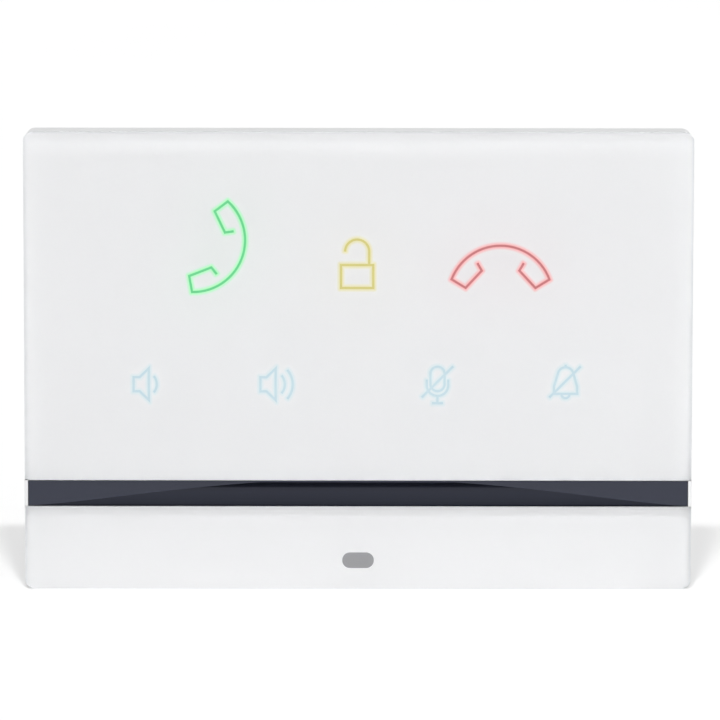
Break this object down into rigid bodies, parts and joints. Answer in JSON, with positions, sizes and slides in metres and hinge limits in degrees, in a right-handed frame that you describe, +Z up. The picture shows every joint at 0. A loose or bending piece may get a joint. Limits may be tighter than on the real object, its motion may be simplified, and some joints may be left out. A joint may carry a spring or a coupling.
{
  "type": "video intercom monitor",
  "caption": "Wall-mounted indoor intercom answering unit: white glass front with lit touch icons, a dark sound channel across it, rear cover, circuit boards and hook-on wall plate.",
  "frame": {"origin": "centre of the wall-box screw pattern, on the wall plane, behind the middle of the front panel", "axes": "+X right and +Z up seen from the front, +Y into the wall, so the glass faces -Y"},
  "size_m": [0.16, 0.028, 0.11],
  "materials": {
    "plate_steel": "zinc-plated sheet",
    "screw_steel": "bright zinc",
    "white_housing": "fine spark-eroded grain",
    "clear_glass": "polished, rounded edges",
    "white_print": "even screen print behind glass",
    "badge_grey": "grey screen print behind glass",
    "green_light": "lit translucent ink",
    "yellow_light": "lit translucent ink",
    "red_light": "lit translucent ink",
    "blue_light": "faintly lit translucent ink",
    "foam_tape": "closed-cell foam",
    "sensor_film": "smooth film",
    "opal_film": "opal film",
    "baffle_plastic": "moulded",
    "board_green": "solder mask",
    "lamp_yellow": "phosphor under clear resin",
    "chip_black": "moulded epoxy",
    "channel_black": "high gloss",
    "basket_steel": "pressed steel",
    "surround_rubber": "soft rubber",
    "cone_paper": "pressed pulp",
    "coil_copper": "enamelled copper wire",
    "magnet_steel": "plated steel yoke",
    "wire_sleeve": "smooth sleeve",
    "mic_can": "drawn can",
    "shield_tin": "tin-plated",
    "can_aluminium": "sleeved can",
    "choke_ferrite": "ferrite",
    "header_ivory": "nylon",
    "ribbon_white": "flat flexible cable",
    "socket_black": "moulded",
    "contact_gold": "gold-plated",
    "terminal_grey": "polyamide",
    "release_orange": "polyamide",
    "label_paper": "blank matt label"
  },
  "bodies": {
    "wall_bracket": {"wall_plate": "plate_steel"},
    "lock": {"lock_screw": "screw_steel"},
    "unit": {"front_frame": "white_housing", "touch_glass": "clear_glass", "touch_print": "white_print", "lower_glass": "clear_glass", "lower_print": "white_print", "badge": "badge_grey", "answer_icon": "green_light", "door_icon": "yellow_light", "reject_icon": "red_light", "volume_down_icon": "blue_light", "volume_up_icon": "blue_light", "mute_icon": "blue_light", "do_not_disturb_icon": "blue_light", "glass_tape": "foam_tape", "lower_glass_tape": "foam_tape", "touch_film": "sensor_film", "diffuser": "opal_film", "light_baffle": "baffle_plastic", "led_board": "board_green", "leds": "lamp_yellow", "touch_chips": "chip_black", "led_board_screws": "screw_steel", "sound_channel": "channel_black", "channel_screws": "screw_steel", "speaker_gasket": "foam_tape", "speaker_basket": "basket_steel", "speaker_magnet": "magnet_steel", "speaker_clamp": "plate_steel", "speaker_screws": "screw_steel", "audio_wires": "wire_sleeve", "microphone": "mic_can", "microphone_boot": "surround_rubber", "main_board": "board_green", "main_board_screws": "screw_steel", "shield_can": "shield_tin", "main_chips": "chip_black", "ethernet_transformer": "chip_black", "capacitors": "can_aluminium", "power_chokes": "choke_ferrite", "wire_headers": "header_ivory", "ribbon_cable": "ribbon_white", "socket_body": "socket_black", "socket_shell": "shield_tin", "socket_contacts": "contact_gold", "terminal_block": "terminal_grey", "reset_switch": "socket_black", "rear_cover": "white_housing", "case_screws": "screw_steel", "rating_label": "label_paper"},
    "cone": {"speaker_cone": "cone_paper", "speaker_dust_cap": "cone_paper", "voice_coil": "coil_copper", "speaker_surround": "surround_rubber"},
    "reset": {"reset_button": "header_ivory"},
    "release_1": {"terminal_button_1": "release_orange"},
    "release_2": {"terminal_button_2": "release_orange"},
    "release_3": {"terminal_button_3": "release_orange"},
    "release_4": {"terminal_button_4": "release_orange"}
  },
  "joints": [
    {"name": "unit_lift", "type": "slide", "parent": "wall_bracket", "child": "unit", "axis": [0, 0, 1], "range_m": [0, 0.007]},
    {"name": "lock_screw_back_out", "type": "slide", "parent": "wall_bracket", "child": "lock", "axis": [0, 0, -1], "range_m": [0, 0.004]},
    {"name": "cone_travel", "type": "slide", "parent": "unit", "child": "cone", "axis": [0, 1, 0], "range_m": [-0.0004, 0.0004], "stiffness_N_per_m": 800},
    {"name": "reset_press", "type": "slide", "parent": "unit", "child": "reset", "axis": [0, -1, 0], "range_m": [0, 0.0003], "stiffness_N_per_m": 1500},
    {"name": "release_press_1", "type": "slide", "parent": "unit", "child": "release_1", "axis": [0, -1, 0], "range_m": [0, 0.001], "stiffness_N_per_m": 3000},
    {"name": "release_press_2", "type": "slide", "parent": "unit", "child": "release_2", "axis": [0, -1, 0], "range_m": [0, 0.001], "stiffness_N_per_m": 3000},
    {"name": "release_press_3", "type": "slide", "parent": "unit", "child": "release_3", "axis": [0, -1, 0], "range_m": [0, 0.001], "stiffness_N_per_m": 3000},
    {"name": "release_press_4", "type": "slide", "parent": "unit", "child": "release_4", "axis": [0, -1, 0], "range_m": [0, 0.001], "stiffness_N_per_m": 3000}
  ]
}
